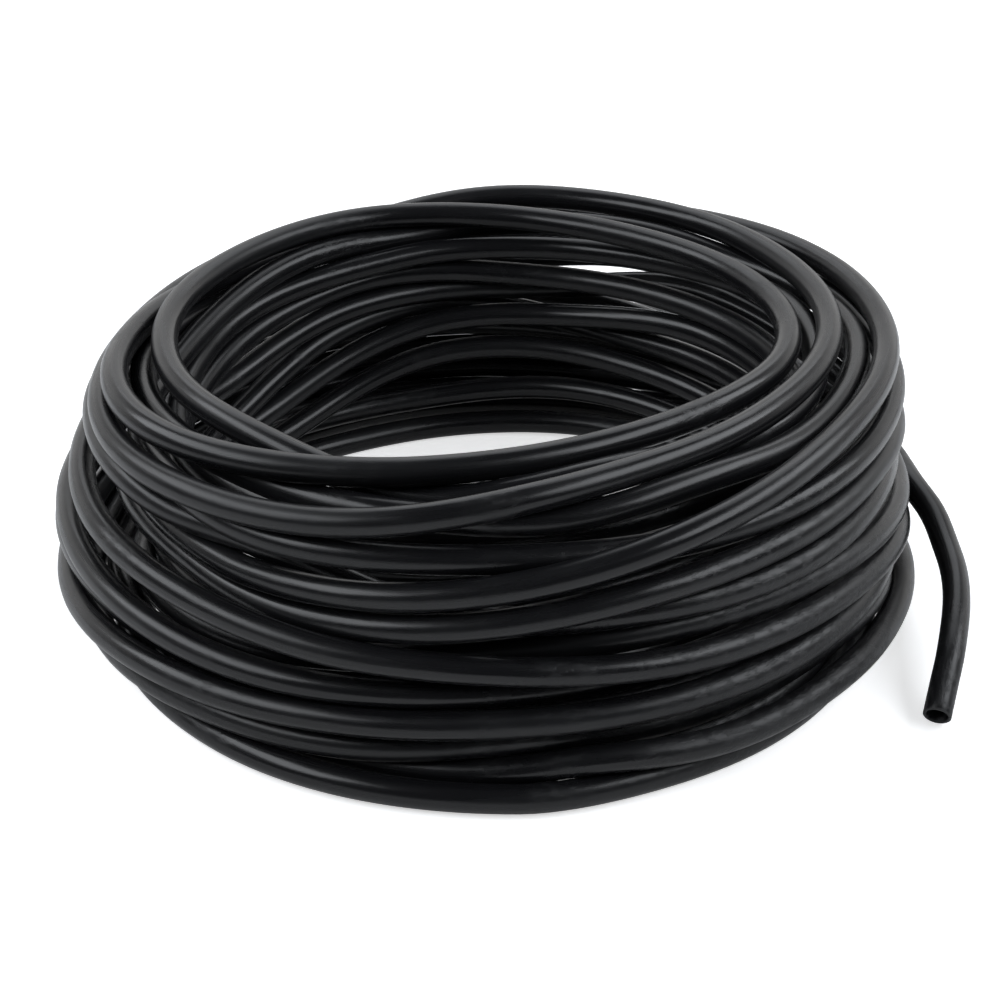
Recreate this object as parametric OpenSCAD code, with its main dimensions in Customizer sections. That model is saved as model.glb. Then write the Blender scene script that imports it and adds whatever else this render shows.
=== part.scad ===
/* [Hose] */
// Outside diameter of the hose
hose_od = 16; // [15:0.5:17]
// Bore of the hose
hose_id = 12.7; // [10:0.1:13]

/* [Coil] */
// Loops from the outer end to the inner end
loops = 22; // [20:1:22]
// Overall height of the coil
coil_height = 170; // [165:1:200]
// Outside radius of the coil at the floor
base_radius = 270; // [266:1:276]
// Outside radius of the coil at its top
top_radius = 246; // [240:1:254]
// Radius of the open middle
eye_radius = 176; // [168:1:180]
// How far the coil's axis stands to the left of the origin
axis_offset = 8; // [0:0.5:12]

/* [Ends] */
// Direction of the outer end round the coil, in degrees from the right
start_angle = 17; // [15:1:20]
// Height of the hose where the outer end leaves the coil
start_height = 58; // [56:1:62]
// Length of the straight cut end, which is open
end_length = 24; // [18:1:30]
// How far the inner end lies inside the outer wall
tuck = 28; // [26:1:32]

/* [Hidden] */
black = "#17181a";
hose_r = hose_od / 2;
bore_r = hose_id / 2;

// The coil rests on flats as deep as a tenth of the hose
flat_depth = hose_od / 10;

// A loop's rings, and the sides of each ring
rings = 24;
sides = 6;
tail_sides = 12;
half_flat = hose_r * cos(180 / sides);

// Rows of the lowest and the highest loops
low_z = half_flat - flat_depth;
high_z = coil_height - half_flat;

// The hose is laid round a four-sided section, one row beside the next.
// Each corner is [radius from the coil's axis, height] of the hose's centre.
corner_base = [base_radius - hose_r, low_z];
corner_floor = [eye_radius + hose_r, low_z];
corner_eye = [eye_radius + hose_r, high_z];
corner_top = [top_radius - hose_r, high_z];
bend = hose_od;

// Where the outer wall passes the height of the outer end
wall_lean = (corner_base[0] - corner_top[0]) / (high_z - low_z);
start_row = [corner_base[0] - wall_lean * (start_height - low_z), start_height];
outline = [start_row, corner_base, corner_floor, corner_eye, corner_top];
corners = len(outline);

// Runs of the section, and the arcs that round its corners
function unit(v) = v / norm(v);
function run(i) = outline[(i + 1) % corners] - outline[i % corners];
function heading(i) = atan2(run(i)[1], run(i)[0]);
function turn(i) = i % corners == 0 ? 0 : acos(unit(run(i - 1)) * unit(run(i)));
function setback(i) = bend * tan(turn(i) / 2);
function arc(i) = bend * turn(i) * PI / 180;
function straight(i) = norm(run(i)) - setback(i) - setback(i + 1);

// Section length up to the start of a straight run, and all the way round
function upto(i) = i == 0 ? 0 : upto(i - 1) + straight(i - 1) + arc(i);
section = upto(corners);
pitch = section / loops;

// A point some way along a straight run, or along the arc before it
function on_straight(i, s) = outline[i] + unit(run(i)) * (setback(i) + s);
function on_arc(i, s) =
    let (h = heading(i - 1), a = h - s / bend * 180 / PI)
    on_straight(i - 1, straight(i - 1))
        + bend * ([sin(h), -cos(h)] - [sin(a), -cos(a)]);

// Place in the section after a length s round it
function place(s, i = corners - 1) =
    i > 0 && s < upto(i) - arc(i) ? place(s, i - 1)
    : s < upto(i) ? on_arc(i, s - upto(i) + arc(i))
    : on_straight(i, s - upto(i));

// The last half turn leaves the wall for the inside of the coil
function ease(u) = u <= 0 ? 0 : u >= 1 ? 1 : u * u * (3 - 2 * u);
function row(t) = place(pitch * t) - [tuck * ease(2 * (t - loops + 0.6)), 0];
function lay(t) =
    let (a = start_angle + 360 * t, p = row(t))
    [p[0] * cos(a), p[0] * sin(a), p[1]];

// Straight ends one diameter long, square to what they meet
wound = [for (i = [0:loops * rings]) lay(i / rings)];
first_way = unit(lay(0) - lay(0.25 / rings));
last_way = unit(lay(loops) - lay(loops - 0.25 / rings));
coil_start = wound[0] + first_way * hose_od;
coil_end = wound[len(wound) - 1] + last_way * hose_od;
coil_route = concat([coil_start], wound, [coil_end]);

// The loose outer stretch curls on as the coil does and sinks to the floor.
// Points are [right, back, up] from the coil's axis at the floor.
loose = [
    [266, 5, 54], [272, -24, 47], [275, -54, 41], [275, -82, 38],
    [271, -112, 34]
];
outer_way = unit([-0.3, -0.84, -0.45]);
mouth_drop = hose_r * norm([outer_way[0], outer_way[1]]);
outer_mouth = [248, -188, mouth_drop];
outer_joint = outer_mouth - outer_way * end_length;
tail_route = concat(
    [coil_start, coil_start + first_way * hose_od],
    loose,
    [outer_joint - outer_way * hose_od, outer_joint]
);

// Direction of a route at one of its points, square to the end faces
function way(p, i) =
    i == 0 ? unit(p[1] - p[0])
    : i == len(p) - 1 ? unit(p[i] - p[i - 1])
    : unit(unit(p[i + 1] - p[i]) + unit(p[i] - p[i - 1]));

// One ring of a tube, with a flat side below, kept above the floor
function ring_at(p, w, n) =
    let (side = unit(cross(w, [0, 0, 1])), up = cross(side, w))
    [for (k = [0:n - 1])
        let (a = 360 * (k + 0.5) / n - 90, q = p + hose_r * (side * cos(a) + up * sin(a)))
        [q[0], q[1], max(0, q[2])]];

// A tube along a route, as triangles with flat end caps
module tube(route, n) {
    count = len(route);
    points = [for (i = [0:count - 1]) each ring_at(route[i], way(route, i), n)];
    walls = [
        for (i = [0:count - 2], k = [0:n - 1])
            let (a = i * n + k, b = i * n + (k + 1) % n)
            each [[a, b, a + n], [b, b + n, a + n]]
    ];
    near_cap = [for (k = [1:n - 2]) [0, k + 1, k]];
    last = (count - 1) * n;
    far_cap = [for (k = [1:n - 2]) [last, last + k, last + k + 1]];
    polyhedron(points, concat(walls, near_cap, far_cap), convexity = 12);
}

// A straight, open length of hose with its true bore
module cut_end(from, w) {
    lean = acos(w[2]);
    bearing = atan2(w[1], w[0]);
    translate(from) rotate([0, lean, bearing]) difference() {
        cylinder(h = end_length, r = hose_r, $fn = 96);
        translate([0, 0, -1]) cylinder(h = end_length + 2, r = bore_r, $fn = 96);
    }
}

// Everything is drawn about the coil's axis and moved to the part's origin
module from_axis() {
    translate([-axis_offset, 0, 0]) children();
}

// The wound hose: down the outside, in along the floor, up and out again
module coil() {
    color(black) from_axis() tube(coil_route, sides);
}

// The loose outer stretch, from the coil to the cut end on the floor
module outer_tail() {
    color(black) from_axis() tube(tail_route, tail_sides);
}

// The open outer end, where a fitting or a plug goes in
module outer_end() {
    color(black) from_axis() cut_end(outer_joint, outer_way);
}

// Least gap between one loop and another, from the centres of the rings
gaps = [
    for (i = [0:len(wound) - 1], j = [i + rings / 2:1:len(wound) - 1])
        norm(wound[i] - wound[j])
];
least_gap = min(gaps) - hose_od;
echo(least_gap = least_gap, row_pitch = pitch);

// Length of a route, in metres
function metres(p) =
    let (steps = [for (i = [1:len(p) - 1]) norm(p[i] - p[i - 1])])
    steps * [for (s = steps) 0.001];
echo(coil_length = metres(coil_route), tail_length = metres(tail_route));

// Places of the mounts, from the part's origin
off_axis = [axis_offset, 0, 0];
echo(mouth = outer_mouth - off_axis, way_out = outer_way);
echo(floor_row = wound[4 * rings] - off_axis);

coil();
outer_tail();
outer_end();
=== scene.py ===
"""Soaker hose: a round coil of smooth black hose with one loose end.

The hose is one swept tube. Its lay is a chart of places that the turns pass
through. Turns that would run through one another are moved apart, but turns
aren't let down on to one another: where the chart leaves air under a turn, the
air stays.
"""

import math

import bmesh
import bpy
import numpy as np
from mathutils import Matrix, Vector


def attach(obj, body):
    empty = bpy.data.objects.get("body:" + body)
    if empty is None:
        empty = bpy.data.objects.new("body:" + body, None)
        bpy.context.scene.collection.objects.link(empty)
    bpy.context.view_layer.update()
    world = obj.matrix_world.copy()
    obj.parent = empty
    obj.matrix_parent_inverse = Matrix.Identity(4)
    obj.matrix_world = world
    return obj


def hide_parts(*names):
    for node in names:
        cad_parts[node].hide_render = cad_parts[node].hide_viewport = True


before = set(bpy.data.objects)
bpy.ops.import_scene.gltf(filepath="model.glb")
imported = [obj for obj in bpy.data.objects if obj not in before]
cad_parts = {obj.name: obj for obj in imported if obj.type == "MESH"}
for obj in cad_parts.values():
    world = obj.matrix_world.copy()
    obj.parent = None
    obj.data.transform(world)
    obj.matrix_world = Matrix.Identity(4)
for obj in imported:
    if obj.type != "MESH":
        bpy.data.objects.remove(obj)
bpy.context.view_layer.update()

bl_info = {
    "name": "Soaker Hose",
    "version": (1, 0, 0),
    "blender": (4, 5, 0),
    "location": "View3D > Sidebar > Soaker Hose",
    "description": "Lays a round coil of soaker hose and lights it in a pale studio",
    "category": "Object",
}

MM = 0.001

# The coil's axis, from the part's origin
AXIS = (-8 * MM, 0.0)

# The lay, turn by turn from the loose end: bearing round the coil in degrees
# from the right, radius and height of the hose's centre in millimetres
TURNS = [
    # Outer back wall
    [(15, 259, 53), (30, 257, 54), (45, 257, 55), (90, 256, 53), (135, 261, 48),
     (165, 265, 44), (175, 265, 44), (183, 263, 44), (189, 259, 45), (196, 255, 45),
     (204, 251, 45), (213, 248, 44), (225, 245, 46), (247, 239, 44), (270, 235, 42),
     (292, 234, 40), (315, 231, 41), (337, 229, 42)],
    [(0, 230, 42), (45, 240, 38), (90, 252, 38), (118, 255, 35), (135, 256, 31),
     (165, 258, 28), (180, 259, 23), (190, 260, 25), (202, 261, 29), (212, 262, 34),
     (225, 261, 37), (240, 259, 40), (255, 256, 45), (270, 255, 47), (283, 255, 49),
     (292, 255, 49), (302, 255, 50), (315, 253, 51), (321, 250, 49), (326, 246, 47),
     (332, 243, 44), (338, 242, 40), (349, 242, 33)],
    [(0, 244, 29), (20, 246, 26), (45, 248, 22), (90, 250, 21), (135, 249, 15),
     (180, 246, 11), (202, 251, 17), (212, 255, 20), (223, 257, 22), (233, 256, 22),
     (241, 254, 23), (248, 252, 23), (256, 251, 24), (263, 249, 24), (270, 247, 25),
     (278, 245, 26), (286, 243, 29), (297, 240, 31), (315, 236, 33), (323, 236, 30),
     (330, 240, 27), (338, 244, 23), (345, 244, 18), (352, 241, 15)],
    [(0, 241, 12), (12, 237, 13), (30, 232, 16), (60, 238, 8), (90, 242, 8),
     (135, 240, 8), (180, 229, 10), (204, 228, 18), (225, 234, 8), (247, 241, 9),
     (256, 243, 11), (263, 246, 13), (270, 250, 16), (276, 255, 18), (281, 260, 19),
     (288, 265, 19), (295, 265, 18), (303, 262, 19), (310, 258, 19), (318, 255, 18),
     (325, 253, 16), (335, 252, 13), (346, 254, 12), (354, 258, 11)],
    # Along the floor
    [(0, 260, 10), (8, 257, 9), (20, 250, 8), (45, 234, 8), (67, 222, 8),
     (90, 216, 8), (112, 212, 8), (135, 211, 8), (180, 211, 8), (202, 233, 8),
     (213, 243, 8), (225, 251, 8), (236, 257, 8), (247, 261, 8), (256, 264, 8),
     (266, 264, 8), (273, 262, 8), (284, 259, 8), (292, 258, 8), (300, 260, 8),
     (306, 258, 8), (313, 254, 8), (321, 249, 8), (329, 244, 8), (340, 243, 8)],
    # Up the outside again
    [(0, 215, 8), (22, 202, 9), (45, 191, 11), (66, 186, 11), (90, 182, 8),
     (105, 179, 8), (118, 177, 8), (135, 182, 8), (150, 191, 9), (165, 198, 16),
     (180, 207, 27), (190, 212, 37), (200, 218, 42), (213, 224, 44), (225, 228, 51),
     (240, 229, 57), (250, 229, 64), (262, 229, 71), (270, 230, 75), (281, 234, 81),
     (292, 238, 86), (302, 240, 87), (311, 242, 87), (323, 244, 83), (330, 245, 81),
     (339, 246, 77), (350, 248, 69)],
    [(0, 251, 64), (20, 249, 68), (45, 250, 71), (67, 253, 71), (90, 254, 70),
     (135, 258, 64), (160, 260, 62), (175, 260, 62), (185, 258, 62), (195, 257, 62),
     (203, 256, 63), (212, 257, 63), (225, 258, 61), (235, 256, 60), (243, 255, 58),
     (250, 252, 57), (256, 249, 57), (262, 246, 57), (270, 241, 58), (292, 234, 57),
     (315, 230, 57), (337, 229, 57)],
    [(0, 230, 57), (40, 231, 63), (55, 232, 74), (68, 234, 83), (90, 237, 85),
     (135, 240, 92), (165, 240, 96), (175, 242, 97), (184, 244, 97), (192, 247, 96),
     (201, 250, 95), (210, 253, 96), (218, 255, 95), (225, 256, 93), (240, 254, 87),
     (247, 254, 84), (270, 252, 79), (281, 252, 75), (292, 253, 71), (298, 252, 70),
     (306, 251, 70), (317, 250, 68), (331, 247, 63), (339, 249, 59),
     (349, 252, 52)],
    [(0, 251, 44), (20, 245, 47), (45, 240, 52), (90, 234, 62), (135, 227, 72),
     (180, 222, 78), (202, 220, 81), (215, 219, 84), (224, 222, 88), (230, 228, 88),
     (236, 232, 87), (241, 236, 87), (246, 241, 89), (254, 245, 93), (262, 247, 98),
     (270, 248, 103), (276, 248, 106), (283, 247, 112), (290, 246, 115),
     (298, 245, 115), (307, 243, 115), (317, 241, 116), (323, 239, 117),
     (330, 238, 118), (339, 239, 117), (350, 242, 113)],
    [(0, 244, 107), (15, 246, 109), (37, 244, 107), (42, 242, 109), (48, 237, 113),
     (54, 234, 119), (60, 233, 126), (67, 232, 129), (71, 231, 124), (76, 228, 116),
     (82, 225, 115), (90, 222, 117), (100, 218, 119), (120, 211, 126),
     (140, 204, 130), (150, 203, 131), (160, 204, 134), (175, 206, 139),
     (187, 207, 142), (202, 208, 146), (225, 210, 147), (236, 210, 149),
     (245, 212, 152), (253, 216, 149), (262, 219, 147), (270, 218, 147),
     (280, 217, 150), (291, 214, 154), (302, 211, 154), (312, 210, 147),
     (325, 210, 145), (341, 212, 145), (349, 214, 145)],
    [(0, 221, 144), (8, 227, 144), (15, 229, 143), (22, 227, 142), (35, 220, 145),
     (43, 215, 149), (50, 211, 151), (62, 210, 152), (75, 208, 151), (90, 203, 150),
     (109, 192, 149), (116, 191, 148), (123, 189, 146), (131, 188, 142),
     (140, 187, 140), (148, 187, 139), (157, 188, 133), (166, 190, 127),
     (175, 195, 124), (190, 207, 126), (204, 216, 130), (212, 222, 134),
     (218, 228, 137), (223, 232, 136), (229, 236, 132), (235, 238, 131),
     (249, 237, 131), (257, 235, 132), (264, 233, 133), (271, 231, 133),
     (277, 229, 130), (283, 228, 128), (292, 229, 129), (300, 232, 130),
     (308, 234, 131), (316, 235, 131), (337, 236, 132), (345, 237, 132),
     (353, 239, 132)],
    [(0, 244, 131), (10, 246, 131), (22, 248, 138), (32, 249, 138), (45, 249, 128),
     (60, 249, 122), (90, 249, 118), (120, 246, 114), (150, 240, 116),
     (165, 237, 119), (180, 236, 122), (195, 236, 125), (207, 237, 126),
     (213, 238, 126), (218, 238, 124), (223, 234, 121), (229, 228, 119),
     (235, 222, 118), (240, 219, 114), (247, 219, 108), (255, 223, 101),
     (262, 228, 95), (270, 229, 92), (281, 233, 96), (285, 236, 97), (289, 239, 98),
     (293, 242, 99), (298, 244, 99), (302, 245, 100), (306, 245, 101),
     (316, 245, 101), (323, 244, 101), (330, 242, 101), (338, 239, 102),
     (345, 238, 97), (352, 238, 91)],
    [(0, 242, 87), (10, 243, 90), (22, 237, 97), (32, 231, 103), (38, 227, 108),
     (44, 222, 113), (50, 217, 117), (56, 212, 121), (60, 210, 121), (64, 208, 112),
     (68, 206, 104), (74, 203, 102), (82, 199, 105), (95, 194, 108),
     (113, 187, 110), (133, 187, 99), (153, 188, 82), (165, 195, 83),
     (180, 206, 88), (200, 216, 96), (225, 226, 104), (233, 229, 105),
     (240, 234, 106), (247, 241, 108), (255, 244, 112), (262, 244, 115),
     (270, 244, 120), (280, 245, 129), (290, 244, 137), (298, 241, 142),
     (307, 237, 147), (315, 233, 149), (324, 229, 152), (331, 229, 153),
     (339, 230, 153), (349, 233, 152)],
    # Over the top
    [(0, 238, 151), (8, 242, 152), (14, 245, 152), (22, 249, 152), (30, 252, 152),
     (38, 254, 152), (45, 255, 151), (60, 256, 148), (75, 256, 145), (88, 254, 142),
     (100, 251, 139), (120, 244, 138), (135, 235, 140), (150, 225, 141),
     (162, 223, 141), (171, 221, 142), (180, 224, 143), (186, 227, 144),
     (194, 230, 146), (200, 235, 147), (206, 240, 147), (216, 244, 146),
     (234, 243, 146), (242, 240, 147), (247, 240, 147), (253, 238, 150),
     (260, 235, 154), (265, 232, 158), (270, 230, 162), (280, 217, 162),
     (292, 203, 162), (304, 196, 162), (316, 194, 162), (333, 194, 162),
     (348, 199, 162)],
    [(0, 203, 162), (8, 207, 162), (22, 211, 162), (38, 217, 162), (51, 224, 162),
     (88, 227, 162), (94, 226, 161), (100, 223, 158), (107, 219, 153),
     (113, 215, 150), (120, 211, 148), (130, 208, 147), (140, 207, 147),
     (150, 206, 148), (160, 207, 150), (168, 209, 151), (176, 212, 153),
     (182, 215, 155), (188, 219, 158), (194, 223, 161), (199, 226, 162),
     (207, 230, 162), (216, 235, 162), (223, 230, 162), (235, 220, 162),
     (249, 206, 162), (264, 190, 162), (272, 183, 162), (280, 177, 162),
     (290, 172, 162), (301, 168, 162), (313, 167, 162), (328, 171, 162),
     (338, 176, 162), (350, 177, 162)],
    [(0, 178, 162), (10, 178, 162), (26, 175, 162), (53, 172, 162), (65, 174, 162),
     (77, 179, 162), (88, 184, 162), (98, 191, 162), (108, 196, 162),
     (118, 200, 162), (128, 199, 162), (141, 195, 162), (150, 194, 162),
     (171, 194, 162), (187, 193, 162), (209, 194, 162), (225, 194, 162),
     (232, 191, 160), (240, 191, 155), (250, 194, 150), (262, 196, 149),
     (270, 196, 150), (277, 193, 152), (285, 190, 155), (297, 188, 160),
     (305, 187, 151), (316, 189, 149), (325, 192, 147), (337, 194, 146),
     (350, 194, 146)],
    # Down round the open middle
    [(5, 196, 149), (13, 197, 151), (22, 196, 149), (35, 191, 146), (50, 187, 144),
     (70, 187, 141), (90, 187, 138), (110, 185, 137), (118, 186, 135),
     (127, 187, 134), (136, 188, 131), (147, 189, 128), (158, 190, 123),
     (170, 190, 117), (190, 190, 112), (225, 190, 112), (250, 190, 119),
     (270, 190, 122), (300, 188, 122), (315, 187, 124)],
    [(0, 187, 120), (41, 187, 118), (66, 187, 119), (86, 187, 118), (109, 188, 126),
     (120, 189, 123), (133, 189, 119), (147, 188, 116), (163, 187, 105),
     (180, 190, 97), (225, 190, 91), (250, 190, 96), (270, 190, 104),
     (300, 189, 105), (315, 187, 104)],
    [(0, 187, 102), (44, 187, 103), (57, 187, 98), (73, 186, 90), (96, 187, 89),
     (110, 187, 80), (121, 187, 70), (134, 187, 55), (147, 189, 42), (160, 196, 40),
     (180, 203, 43), (225, 206, 54), (245, 205, 64), (260, 202, 74), (275, 197, 82),
     (290, 192, 86), (315, 187, 84)],
    [(0, 187, 82), (41, 188, 82), (54, 194, 79), (66, 201, 75), (76, 206, 79),
     (86, 207, 87), (96, 204, 94), (105, 200, 95), (115, 196, 90), (125, 191, 88),
     (133, 189, 81), (141, 188, 69), (150, 188, 57), (180, 188, 56), (225, 187, 48),
     (270, 187, 48), (315, 187, 56)],
    [(0, 187, 58), (40, 187, 58), (66, 187, 63), (81, 187, 66), (103, 188, 62),
     (110, 187, 56), (121, 187, 44), (130, 187, 33), (138, 187, 24), (150, 187, 25),
     (165, 187, 30), (180, 187, 32), (225, 188, 26), (270, 188, 28),
     (315, 187, 32)],
    # The hidden inner end
    [(0, 187, 34), (49, 187, 34), (60, 187, 37), (75, 188, 35), (82, 189, 35),
     (90, 188, 32), (96, 188, 28), (110, 189, 26), (120, 193, 24), (135, 201, 22),
     (150, 207, 20), (165, 208, 14), (180, 200, 8), (202, 205, 8), (225, 213, 8),
     (250, 224, 8), (262, 229, 9), (270, 232, 9), (285, 234, 9), (300, 236, 10),
     (312, 236, 10), (321, 233, 10), (329, 227, 11), (337, 221, 13),
     (345, 217, 14)],
]

# The loose stretch: right, back and up from the coil's axis, in millimetres. Its
# points are those of the part's source, but for the first, which lies 3 mm from
# the source's, further in and lower. The mouth and the straight end are the
# source's own.
LOOSE = [(264, 4, 52), (272, -24, 47), (275, -54, 41), (275, -82, 38),
         (271, -112, 34)]
OUTER_WAY = (-0.3, -0.84, -0.45)
OUTER_MOUTH = (248, -188)
END_LENGTH = 24

# The turns are laid at this many bearings round the coil, a hair further apart
# than the hose is thick. Stations before the hose's mouth are parked far away.
STATIONS = 72
TIGHT = 1.008
PARKED = 1e4

# How overlapping turns are moved apart, in rounds. In a round each turn gives way
# by a share of each overlap, goes a share of the way back to the chart, fading
# towards the end, and is straightened, less the more supple the hose is. In the
# last rounds it only gives way.
ROUNDS = 400
LAST_ROUNDS = 25
PUSH = 0.35
PULL = 0.04
PULL_FADE = 0.8
SUPPLENESS = 24

# Times that the chart's corners are rounded off before the hose is laid to it
EASINGS = 3

# The laid hose takes over this many degrees past the loose stretch's last point,
# and the route is curved in so many parts from each point to the next
TAKE_OVER = 6
CURVE_PARTS = 8

# The open ends, in metres: how deep the bore is drawn and in how many rings, the
# softened edge of the cut, and the bottom ring, so small that merging closes it
BORE_DEPTH = 0.06
BORE_RINGS = 9
SOFT_EDGE = 0.0003
BOTTOM_RADIUS = 1e-5
MERGE_DISTANCE = 2e-5

# In metres: how far ahead and behind a ring looks for its direction
LOOK_ALONG = 0.002

# Small numbers that keep a gap and a step from being nothing
LEAST_GAP = 1e-6
LEAST_STEP = 1e-9

# Where the lowest loops have been dragged over rough ground
DRAGGED_AT = (0.17, -0.2, 0.03)

# The soft panels: place, width and height, and the setting that powers each
PANELS = (
    ("left_panel", (-1.3, -0.25, 1.15), (1.9, 0.8), "side_power"),
    ("right_panel", (1.3, -0.25, 1.15), (1.9, 0.8), "side_power"),
    ("top_panel", (0, 1.5, 1.8), (2.4, 1.4), "top_power"),
)
PANEL_TINT = (0.93, 0.96, 1.0)
PANELS_AIM = (0, 0, 0.08)

# Colours of the room's light and of the background
ROOM_TINT = (0.9, 0.94, 1)
WHITE = (1, 1, 1)

# Millimetres across the camera's sensor, and how far its frame is moved to the
# right, as a share of the frame's width
SENSOR_WIDTH = 36.0
CAMERA_SHIFT = 0.01

# A mix node's colour sockets, which share their names with its other kinds
FIRST_COLOUR, SECOND_COLOUR, MIXED_COLOUR = 6, 7, 2


def unit(v):
    """A vector made one long."""
    v = np.array(v, float)
    return v / np.linalg.norm(v)


class HoseSettings(bpy.types.PropertyGroup):
    """Sizes and colours of the hose."""

    diameter: bpy.props.FloatProperty(
        name="Outside Diameter", description="Outside diameter of the hose",
        default=0.016, min=0.012, max=0.02, unit="LENGTH", precision=4)
    bore: bpy.props.FloatProperty(
        name="Bore", description="Bore of the hose",
        default=0.0127, min=0.008, max=0.014, unit="LENGTH", precision=4)
    height: bpy.props.FloatProperty(
        name="Coil Height", description="Height of the coil as it lies",
        default=0.17, min=0.1, max=0.2, unit="LENGTH", precision=3)
    ring_step: bpy.props.FloatProperty(
        name="Ring Step", description="Distance from one ring of the tube to the next",
        default=0.0075, min=0.003, max=0.02, unit="LENGTH", precision=4)
    sides: bpy.props.IntProperty(
        name="Sides", description="Sides of each ring of the tube",
        default=22, min=12, max=24)
    colour: bpy.props.FloatVectorProperty(
        name="Colour", description="Colour of the black hose", subtype="COLOR",
        size=3, min=0.0, max=1.0, default=(0.006, 0.006, 0.0068))
    bloom: bpy.props.FloatVectorProperty(
        name="Bloom", description="Colour of the dusty bloom and the scuffs",
        subtype="COLOR", size=3, min=0.0, max=1.0, default=(0.014, 0.0145, 0.0155))
    rim: bpy.props.FloatVectorProperty(
        name="Cut Rim", description="Colour of the freshly cut end",
        subtype="COLOR", size=3, min=0.0, max=1.0, default=(0.035, 0.035, 0.036))


class StudioSettings(bpy.types.PropertyGroup):
    """Camera, floor and lamps."""

    distance: bpy.props.FloatProperty(
        name="Camera Distance", description="Level distance from the coil's axis",
        default=1.15, min=0.5, max=4.0, unit="LENGTH")
    eye_height: bpy.props.FloatProperty(
        name="Camera Height", description="Height of the camera above the floor",
        default=0.6577, min=0.1, max=3.0, unit="LENGTH")
    pitch: bpy.props.FloatProperty(
        name="Camera Pitch", description="How far the camera looks down",
        default=math.radians(28.14), min=0.0, max=1.5, subtype="ANGLE")
    lens: bpy.props.FloatProperty(
        name="Lens", description="Focal length in millimetres on a 36 mm sensor",
        default=74.94, min=20.0, max=200.0)
    floor_colour: bpy.props.FloatVectorProperty(
        name="Floor Colour", description="Colour of the floor", subtype="COLOR",
        size=3, min=0.0, max=1.0, default=(0.9, 0.9, 0.9))
    floor_lift: bpy.props.FloatProperty(
        name="Floor Lift", description="Glow that takes the seen floor up to white",
        default=0.6, min=0.0, max=1.0)
    reach: bpy.props.FloatProperty(
        name="Floor Reach", description="How far the floor runs each way",
        default=6.0, min=2.0, max=20.0, unit="LENGTH")
    sky: bpy.props.FloatProperty(
        name="Room Light", description="Strength of the light from the room",
        default=0.07, min=0.0, max=1.0)
    side_power: bpy.props.FloatProperty(
        name="Side Panels", description="Power of the panel on each side",
        default=22.0, min=0.0, max=100.0, unit="POWER")
    top_power: bpy.props.FloatProperty(
        name="Top Panel", description="Power of the panel above and behind",
        default=18.0, min=0.0, max=100.0, unit="POWER")


def eased(values, times):
    """A run of values with its corners rounded off."""
    for _ in range(times):
        inner = 0.5 * values[1:-1] + 0.25 * (values[:-2] + values[2:])
        values = np.concatenate([values[:1], inner, values[-1:]])
    return values


def tail_points(radius):
    """The loose stretch from its mouth back to the coil, in millimetres."""
    way = unit(OUTER_WAY)
    mouth = np.array([*OUTER_MOUTH, radius * math.hypot(way[0], way[1])])
    joint = mouth - way * END_LENGTH
    loose = [np.array(p, float) for p in LOOSE[::-1]]
    return [mouth, joint, joint - way * 2 * radius] + loose


def laid_turns(diameter, height):
    """Radius and height of the hose at every station, with overlapping turns
    moved apart, as one row for each station."""
    step = 360 / STATIONS
    radius = diameter / 2
    tail = tail_points(radius)
    chart = [(math.degrees(math.atan2(p[1], p[0])), math.hypot(p[0], p[1]), p[2])
             for p in tail]
    for turn, places in enumerate(TURNS):
        chart += [(bearing + 360 * turn, out, up) for bearing, out, up in places]
    bearings, outs, ups = np.array(chart).T
    first = math.ceil(bearings[0] / step) * step
    grid = np.arange(first, 360 * len(TURNS), step)
    wanted = np.stack([eased(np.interp(grid, bearings, outs), EASINGS),
                       eased(np.interp(grid, bearings, ups), EASINGS)], axis=1)

    # One extra turn before the first holds the loose stretch. It stays put with
    # the two stations after it, and straightening starts two further on.
    before = STATIONS + round(first / step)
    fixed = STATIONS + 2
    rows = len(TURNS) + 1
    place = np.full((rows * STATIONS, 2), PARKED)
    place[before:] = wanted
    goal = place.copy()
    held = np.arange(len(place)) < fixed
    top = height / MM - radius
    own = np.arange(rows)
    for count in range(ROUNDS):
        turns = place.reshape(rows, STATIONS, 2)
        apart = turns[:, None] - turns[None]
        gap = np.sqrt((apart ** 2).sum(-1)) + LEAST_GAP
        short = np.clip(diameter * TIGHT - gap, 0, None)
        short[own, own] = 0
        push = ((short / gap)[..., None] * apart * PUSH).sum(1).reshape(-1, 2)
        place = place + np.where(held[:, None], 0, push)
        if count < ROUNDS - LAST_ROUNDS:
            pull = PULL * (1 - PULL_FADE * count / ROUNDS)
            place = np.where(held[:, None], place, place + pull * (goal - place))
            bent = place.copy()
            bent[2:-2] -= (place[:-4] - 4 * place[1:-3] + 6 * place[2:-2]
                           - 4 * place[3:-1] + place[4:]) / SUPPLENESS
            bent[:fixed + 2] = place[:fixed + 2]
            place = bent
        place[:, 1] = np.maximum(place[:, 1], radius)
        high = (place[:, 1] > top) & (place[:, 1] < PARKED / 10)
        place[high, 1] = top
    return grid, place[before:]


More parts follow.
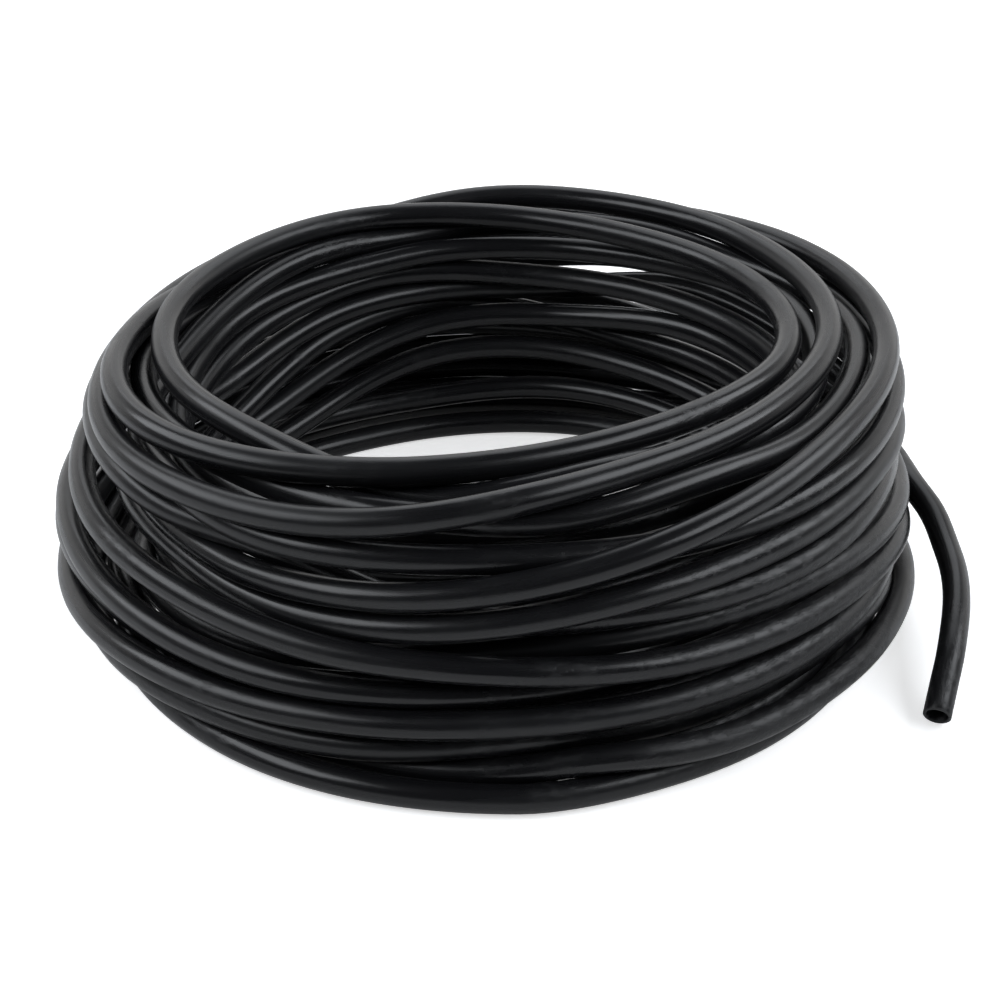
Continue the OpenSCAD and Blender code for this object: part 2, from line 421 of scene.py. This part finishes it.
def curve_through(points, parts):
    """Points along a centripetal Catmull-Rom curve through the given ones."""
    points = np.asarray(points, float)
    p = np.concatenate([[2 * points[0] - points[1]], points,
                        [2 * points[-1] - points[-2]]])
    steps = np.maximum(np.linalg.norm(np.diff(p, axis=0), axis=1), LEAST_STEP) ** 0.5
    t = np.concatenate([[0], np.cumsum(steps)])
    found = []
    for i in range(1, len(p) - 2):
        u = t[i] + (t[i + 1] - t[i]) * np.arange(parts)[:, None] / parts
        a1 = ((t[i] - u) * p[i - 1] + (u - t[i - 1]) * p[i]) / (t[i] - t[i - 1])
        a2 = ((t[i + 1] - u) * p[i] + (u - t[i]) * p[i + 1]) / (t[i + 1] - t[i])
        a3 = (((t[i + 2] - u) * p[i + 1] + (u - t[i + 1]) * p[i + 2])
              / (t[i + 2] - t[i + 1]))
        b1 = ((t[i + 1] - u) * a1 + (u - t[i - 1]) * a2) / (t[i + 1] - t[i - 1])
        b2 = ((t[i + 2] - u) * a2 + (u - t[i]) * a3) / (t[i + 2] - t[i])
        found.append(((t[i + 1] - u) * b1 + (u - t[i]) * b2) / (t[i + 1] - t[i]))
    return np.concatenate(found + [points[-1:]])


def lengths(points):
    """Distance along a route to each of its points."""
    steps = np.linalg.norm(np.diff(points, axis=0), axis=1)
    return np.concatenate([[0], np.cumsum(steps)])


def at_steps(points, places):
    """Points at the given distances along a route."""
    along = lengths(points)
    return np.stack([np.interp(places, along, points[:, k]) for k in range(3)],
                    axis=1)


def hose_route(diameter, height):
    """The hose's centreline from the loose mouth to the inner end, in metres."""
    grid, place = laid_turns(diameter / MM, height)
    tail = tail_points(diameter / MM / 2)
    start = math.degrees(math.atan2(tail[-1][1], tail[-1][0])) + TAKE_OVER
    wound = [(out * math.cos(math.radians(b)), out * math.sin(math.radians(b)), up)
             for b, (out, up) in zip(grid, place) if b > start]
    route = curve_through(np.array(tail + wound), CURVE_PARTS) * MM
    route[:, 0] += AXIS[0]
    route[:, 1] += AXIS[1]
    return route


def hose_rings(whole, radius, bore, ring_step):
    """Where the rings stand along the hose and how wide each is: out along the
    bore of one end, over its rim, along the wall, and into the other bore."""
    count = round((whole - 2 * SOFT_EDGE) / ring_step)
    wall = np.linspace(SOFT_EDGE, whole - SOFT_EDGE, count)
    inner = np.linspace(BORE_DEPTH, SOFT_EDGE, BORE_RINGS)
    places = np.concatenate([
        [BORE_DEPTH], inner, [0, 0], wall,
        [whole, whole], whole - inner[::-1], [whole - BORE_DEPTH]])
    rim = [bore + SOFT_EDGE, radius - SOFT_EDGE]
    radii = np.concatenate([
        [BOTTOM_RADIUS], np.full(BORE_RINGS, bore), rim, np.full(count, radius),
        rim[::-1], np.full(BORE_RINGS, bore), [BOTTOM_RADIUS]])
    return places, radii


def ring_faces(rings, sides):
    """Quads that join each ring to the next."""
    ring, side = np.meshgrid(np.arange(rings - 1), np.arange(sides), indexing="ij")
    a = ring * sides + side
    b = ring * sides + (side + 1) % sides
    return np.stack([a, b, b + sides, a + sides], axis=-1).reshape(-1, 4)


def ring_bearings(sides):
    """Bearings of a ring's vertices round the hose."""
    return 2 * math.pi * np.arange(sides) / sides


def swept(places, route, radii, sides):
    """Vertices of the rings round a route at the given distances."""
    centres = at_steps(route, places)
    ahead = at_steps(route, np.minimum(places + LOOK_ALONG, lengths(route)[-1]))
    behind = at_steps(route, np.maximum(places - LOOK_ALONG, 0))
    ways = ahead - behind
    ways /= np.linalg.norm(ways, axis=1)[:, None]
    side = np.cross(ways, (0, 0, 1.0))
    side /= np.linalg.norm(side, axis=1)[:, None]
    up = np.cross(side, ways)
    around = ring_bearings(sides)
    out = (side[:, None] * np.cos(around)[None, :, None]
           + up[:, None] * np.sin(around)[None, :, None])
    points = centres[:, None] + out * np.asarray(radii)[:, None, None]
    return points.reshape(-1, 3)


def store_lay(mesh, places, radii, sides):
    """Give each vertex its distance along the hose and its place in the ring,
    so that the rubber's pattern runs along the hose without a seam."""
    around = ring_bearings(sides)
    lay = np.empty((len(places), sides, 3))
    lay[..., 0] = np.asarray(places)[:, None]
    lay[..., 1] = np.asarray(radii)[:, None] * np.cos(around)
    lay[..., 2] = np.asarray(radii)[:, None] * np.sin(around)
    stored = mesh.attributes.new("lay", "FLOAT_VECTOR", "POINT")
    stored.data.foreach_set("vector", lay.ravel())


def finish_tube(mesh):
    """Close each bore's bottom ring by merging it, turn every face outwards and
    shade them all smooth."""
    tube = bmesh.new()
    tube.from_mesh(mesh)
    bmesh.ops.remove_doubles(tube, verts=tube.verts, dist=MERGE_DISTANCE)
    bmesh.ops.recalc_face_normals(tube, faces=tube.faces)
    tube.to_mesh(mesh)
    tube.free()
    mesh.polygons.foreach_set("use_smooth", [True] * len(mesh.polygons))


def material_tree(name):
    """A new node material, its node tree, and its surface and output nodes."""
    material = bpy.data.materials.new(name)
    material.use_nodes = True
    tree = material.node_tree
    tree.nodes.clear()
    output = tree.nodes.new("ShaderNodeOutputMaterial")
    surface = tree.nodes.new("ShaderNodeBsdfPrincipled")
    tree.links.new(surface.outputs["BSDF"], output.inputs["Surface"])
    return material, tree, surface, output


def noise(tree, source, stretch, detail, rough=0.5):
    """Noise on a vector stretched by so many cells to the metre each way."""
    place = tree.nodes.new("ShaderNodeMapping")
    place.inputs["Scale"].default_value = stretch
    node = tree.nodes.new("ShaderNodeTexNoise")
    node.inputs["Scale"].default_value = 1.0
    node.inputs["Detail"].default_value = detail
    node.inputs["Roughness"].default_value = rough
    tree.links.new(source, place.inputs["Vector"])
    tree.links.new(place.outputs["Vector"], node.inputs["Vector"])
    return node.outputs["Fac"]


def ranged(tree, value, across, onto):
    """A value mapped smoothly across one range onto another, and held inside it."""
    node = tree.nodes.new("ShaderNodeMapRange")
    node.interpolation_type = "SMOOTHSTEP"
    for name, number in (("From Min", across[0]), ("From Max", across[1]),
                         ("To Min", onto[0]), ("To Max", onto[1])):
        node.inputs[name].default_value = number
    tree.links.new(value, node.inputs["Value"])
    return node.outputs["Result"]


def worked(tree, operation, first, second):
    """One value worked with another, which may be a number."""
    node = tree.nodes.new("ShaderNodeMath")
    node.operation = operation
    tree.links.new(first, node.inputs[0])
    if isinstance(second, (int, float)):
        node.inputs[1].default_value = second
    else:
        tree.links.new(second, node.inputs[1])
    return node.outputs["Value"]


def share_of(tree, value, share):
    """A share of a value."""
    return worked(tree, "MULTIPLY", value, share)


def blended(tree, amount, first, second):
    """One colour laid over another by an amount. Either may be an output."""
    node = tree.nodes.new("ShaderNodeMix")
    node.data_type = "RGBA"
    tree.links.new(amount, node.inputs["Factor"])
    for socket, colour in ((node.inputs[FIRST_COLOUR], first),
                           (node.inputs[SECOND_COLOUR], second)):
        if isinstance(colour, bpy.types.NodeSocket):
            tree.links.new(colour, socket)
        else:
            socket.default_value = (*colour, 1)
    return node.outputs[MIXED_COLOUR]


def raised(tree, height, distance, below=None):
    """A bump of so many metres, on top of another."""
    node = tree.nodes.new("ShaderNodeBump")
    node.inputs["Strength"].default_value = 1.0
    node.inputs["Distance"].default_value = distance
    tree.links.new(height, node.inputs["Height"])
    if below is not None:
        tree.links.new(below, node.inputs["Normal"])
    return node.outputs["Normal"]


def hose_material(colour, bloom_colour, rim_colour):
    """Satin black rubber: drawn lines along the hose, a fine grain, a faint
    bloom in soft patches, scattered scuffs, and a paler cut rim."""
    material, tree, surface, _ = material_tree("hose_black")
    along_round = tree.nodes.new("ShaderNodeAttribute")
    along_round.attribute_name = "lay"
    lay = along_round.outputs["Vector"]
    coordinates = tree.nodes.new("ShaderNodeTexCoord")
    split = tree.nodes.new("ShaderNodeSeparateXYZ")
    tree.links.new(lay, split.inputs["Vector"])

    place = coordinates.outputs["Object"]
    drawn = noise(tree, lay, stretch=(5, 700, 700), detail=3, rough=0.6)
    waves = noise(tree, lay, stretch=(22, 60, 60), detail=2)
    grain = noise(tree, place, stretch=(1500, 1500, 1500), detail=3, rough=0.6)
    patches = noise(tree, lay, stretch=(9, 70, 70), detail=4, rough=0.6)
    marks = noise(tree, lay, stretch=(150, 330, 330), detail=5, rough=0.62)
    worn = noise(tree, place, stretch=(14, 14, 14), detail=3, rough=0.55)
    dragged = tree.nodes.new("ShaderNodeVectorMath")
    dragged.operation = "DISTANCE"
    dragged.inputs[1].default_value = DRAGGED_AT
    tree.links.new(place, dragged.inputs[0])

    bloom = ranged(tree, patches, across=(0.42, 0.72), onto=(0, 1))
    near = ranged(tree, dragged.outputs["Value"], across=(0.06, 0.15), onto=(1, 0))
    wear = worked(tree, "MAXIMUM", near,
                  ranged(tree, worn, across=(0.54, 0.66), onto=(0, 0.6)))
    scuffs = worked(tree, "MULTIPLY",
                    ranged(tree, marks, across=(0.46, 0.68), onto=(0, 1)), wear)
    rim = ranged(tree, split.outputs["X"], across=(0.0002, 0.0012), onto=(1, 0))

    tint = blended(tree, share_of(tree, bloom, 0.35), colour, bloom_colour)
    tint = blended(tree, share_of(tree, scuffs, 0.8), tint, bloom_colour)
    tint = blended(tree, share_of(tree, rim, 0.9), tint, rim_colour)
    tree.links.new(tint, surface.inputs["Base Color"])

    gloss = worked(tree, "ADD",
                   ranged(tree, patches, across=(0.3, 0.75), onto=(0.21, 0.35)),
                   ranged(tree, drawn, across=(0.3, 0.7), onto=(-0.03, 0.03)))
    gloss = worked(tree, "ADD", gloss, share_of(tree, wear, 0.1))
    gloss = worked(tree, "ADD", gloss, share_of(tree, scuffs, 0.15))
    gloss = worked(tree, "ADD", gloss, share_of(tree, rim, 0.25))
    tree.links.new(gloss, surface.inputs["Roughness"])
    surface.inputs["Specular IOR Level"].default_value = 0.35

    normal = raised(tree, waves, distance=0.0005)
    normal = raised(tree, drawn, distance=0.00004, below=normal)
    normal = raised(tree, grain, distance=0.000015, below=normal)
    normal = raised(tree, scuffs, distance=0.00015, below=normal)
    tree.links.new(normal, surface.inputs["Normal"])
    return material


def background_seen(tree, share):
    """One for rays that meet the white background, and a share for glossy ones."""
    ray = tree.nodes.new("ShaderNodeLightPath")
    glossy = share_of(tree, ray.outputs["Is Glossy Ray"], share)
    straight = worked(tree, "MAXIMUM", ray.outputs["Is Camera Ray"],
                      ray.outputs["Is Transmission Ray"])
    return worked(tree, "MAXIMUM", straight, glossy)


def floor_material(colour, lift):
    """A matt pale floor that takes shadows near the coil and turns into the
    white background further out."""
    material, tree, surface, output = material_tree("pale_floor")
    surface.inputs["Base Color"].default_value = (*colour, 1)
    surface.inputs["Roughness"].default_value = 0.9
    surface.inputs["Specular IOR Level"].default_value = 0.0
    glow = tree.nodes.new("ShaderNodeEmission")
    coordinates = tree.nodes.new("ShaderNodeTexCoord")
    out = tree.nodes.new("ShaderNodeVectorMath")
    out.operation = "LENGTH"
    tree.links.new(coordinates.outputs["Object"], out.inputs[0])
    glowing = ranged(tree, out.outputs["Value"], across=(0.7, 2.6), onto=(lift, 1))
    tree.links.new(glowing, glow.inputs["Strength"])
    add = tree.nodes.new("ShaderNodeAddShader")
    mix = tree.nodes.new("ShaderNodeMixShader")
    tree.links.new(surface.outputs["BSDF"], add.inputs[0])
    tree.links.new(glow.outputs["Emission"], add.inputs[1])
    tree.links.new(background_seen(tree, 0.2), mix.inputs["Fac"])
    tree.links.new(surface.outputs["BSDF"], mix.inputs[1])
    tree.links.new(add.outputs["Shader"], mix.inputs[2])
    tree.links.new(mix.outputs["Shader"], output.inputs["Surface"])
    return material


def studio_world(sky):
    """A dim room with a white background, which gloss finds behind the coil."""
    world = bpy.data.worlds.new("studio")
    world.use_nodes = True
    tree = world.node_tree
    tree.nodes.clear()
    output = tree.nodes.new("ShaderNodeOutputWorld")
    room = tree.nodes.new("ShaderNodeBackground")
    room.inputs["Color"].default_value = (*ROOM_TINT, 1)
    room.inputs["Strength"].default_value = sky
    white = tree.nodes.new("ShaderNodeBackground")
    white.inputs["Color"].default_value = (*WHITE, 1)
    white.inputs["Strength"].default_value = 1.0
    way = tree.nodes.new("ShaderNodeTexCoord")
    split = tree.nodes.new("ShaderNodeSeparateXYZ")
    tree.links.new(way.outputs["Generated"], split.inputs["Vector"])
    behind = ranged(tree, split.outputs["Y"], across=(-0.1, 0.7), onto=(0, 1))
    low = ranged(tree, split.outputs["Z"], across=(0.25, 0.8), onto=(1, 0))
    mix = tree.nodes.new("ShaderNodeMixShader")
    found = worked(tree, "MULTIPLY", behind, low)
    tree.links.new(background_seen(tree, found), mix.inputs["Fac"])
    tree.links.new(room.outputs["Background"], mix.inputs[1])
    tree.links.new(white.outputs["Background"], mix.inputs[2])
    tree.links.new(mix.outputs["Shader"], output.inputs["Surface"])
    return world


def add_panel(scene, name, at, size, power):
    """A soft panel of light, aimed at the coil."""
    light = bpy.data.lights.new(name, "AREA")
    light.shape = "RECTANGLE"
    light.color = PANEL_TINT
    light.size, light.size_y = size
    light.energy = power
    lamp = bpy.data.objects.new(name, light)
    scene.collection.objects.link(lamp)
    lamp.location = at
    aim = Vector(PANELS_AIM) - Vector(at)
    lamp.rotation_euler = aim.to_track_quat("-Z", "Y").to_euler()


class SOAKER_OT_lay_hose(bpy.types.Operator):
    """Lay the hose in its coil, with its loose end on the floor"""

    bl_idname = "soaker.lay_hose"
    bl_label = "Lay Hose"

    def execute(self, context):
        settings = context.scene.soaker_hose
        radius, bore = settings.diameter / 2, settings.bore / 2
        route = hose_route(settings.diameter, settings.height)
        whole = lengths(route)[-1]
        places, radii = hose_rings(whole, radius, bore, settings.ring_step)
        points = swept(places, route, radii, settings.sides)
        faces = ring_faces(len(places), settings.sides)
        mesh = bpy.data.meshes.new("hose")
        mesh.from_pydata(points.tolist(), [], faces.tolist())
        hose = bpy.data.objects.new("hose", mesh)
        context.scene.collection.objects.link(hose)
        mesh.materials.append(hose_material(
            tuple(settings.colour), tuple(settings.bloom), tuple(settings.rim)))
        store_lay(mesh, places, radii, settings.sides)
        finish_tube(mesh)
        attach(hose, "root")
        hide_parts("coil", "outer_tail", "outer_end")
        return {"FINISHED"}


class SOAKER_OT_set_stage(bpy.types.Operator):
    """Set the floor, the soft lamps, the white surround and the camera"""

    bl_idname = "soaker.set_stage"
    bl_label = "Set Stage"

    def execute(self, context):
        scene = context.scene
        studio = scene.soaker_studio
        reach = studio.reach
        mesh = bpy.data.meshes.new("floor")
        mesh.from_pydata([(-reach, -reach, 0), (reach, -reach, 0), (reach, reach, 0),
                          (-reach, reach, 0)], [], [(0, 1, 2, 3)])
        floor = bpy.data.objects.new("floor", mesh)
        scene.collection.objects.link(floor)
        mesh.materials.append(
            floor_material(tuple(studio.floor_colour), studio.floor_lift))
        scene.world = studio_world(studio.sky)

        for name, at, size, power in PANELS:
            add_panel(scene, name, at, size, getattr(studio, power))

        lens = bpy.data.cameras.new("camera")
        lens.lens = studio.lens
        lens.sensor_width = SENSOR_WIDTH
        lens.shift_x = CAMERA_SHIFT
        camera = bpy.data.objects.new("camera", lens)
        scene.collection.objects.link(camera)
        camera.location = (AXIS[0], AXIS[1] - studio.distance, studio.eye_height)
        camera.rotation_euler = (math.pi / 2 - studio.pitch, 0, 0)
        scene.camera = camera
        scene.view_settings.view_transform = "Standard"
        return {"FINISHED"}


class SOAKER_PT_panel(bpy.types.Panel):
    """The hose and its stage in the 3D view's sidebar"""

    bl_idname = "SOAKER_PT_panel"
    bl_label = "Soaker Hose"
    bl_space_type = "VIEW_3D"
    bl_region_type = "UI"
    bl_category = "Soaker Hose"

    def draw(self, context):
        layout = self.layout
        for settings, kind, operator in (
            (context.scene.soaker_studio, StudioSettings, "soaker.set_stage"),
            (context.scene.soaker_hose, HoseSettings, "soaker.lay_hose"),
        ):
            for name in kind.__annotations__:
                layout.prop(settings, name)
            layout.operator(operator)


CLASSES = (HoseSettings, StudioSettings, SOAKER_OT_set_stage, SOAKER_OT_lay_hose,
           SOAKER_PT_panel)


def register():
    """Add the settings, the operators and the panel."""
    for kind in CLASSES:
        bpy.utils.register_class(kind)
    bpy.types.Scene.soaker_hose = bpy.props.PointerProperty(type=HoseSettings)
    bpy.types.Scene.soaker_studio = bpy.props.PointerProperty(type=StudioSettings)


def unregister():
    """Take them away again."""
    del bpy.types.Scene.soaker_studio
    del bpy.types.Scene.soaker_hose
    for kind in reversed(CLASSES):
        bpy.utils.unregister_class(kind)


def main():
    """Make the stage and the hose."""
    register()
    bpy.ops.soaker.set_stage()
    bpy.ops.soaker.lay_hose()


if __name__ == "__main__":
    main()
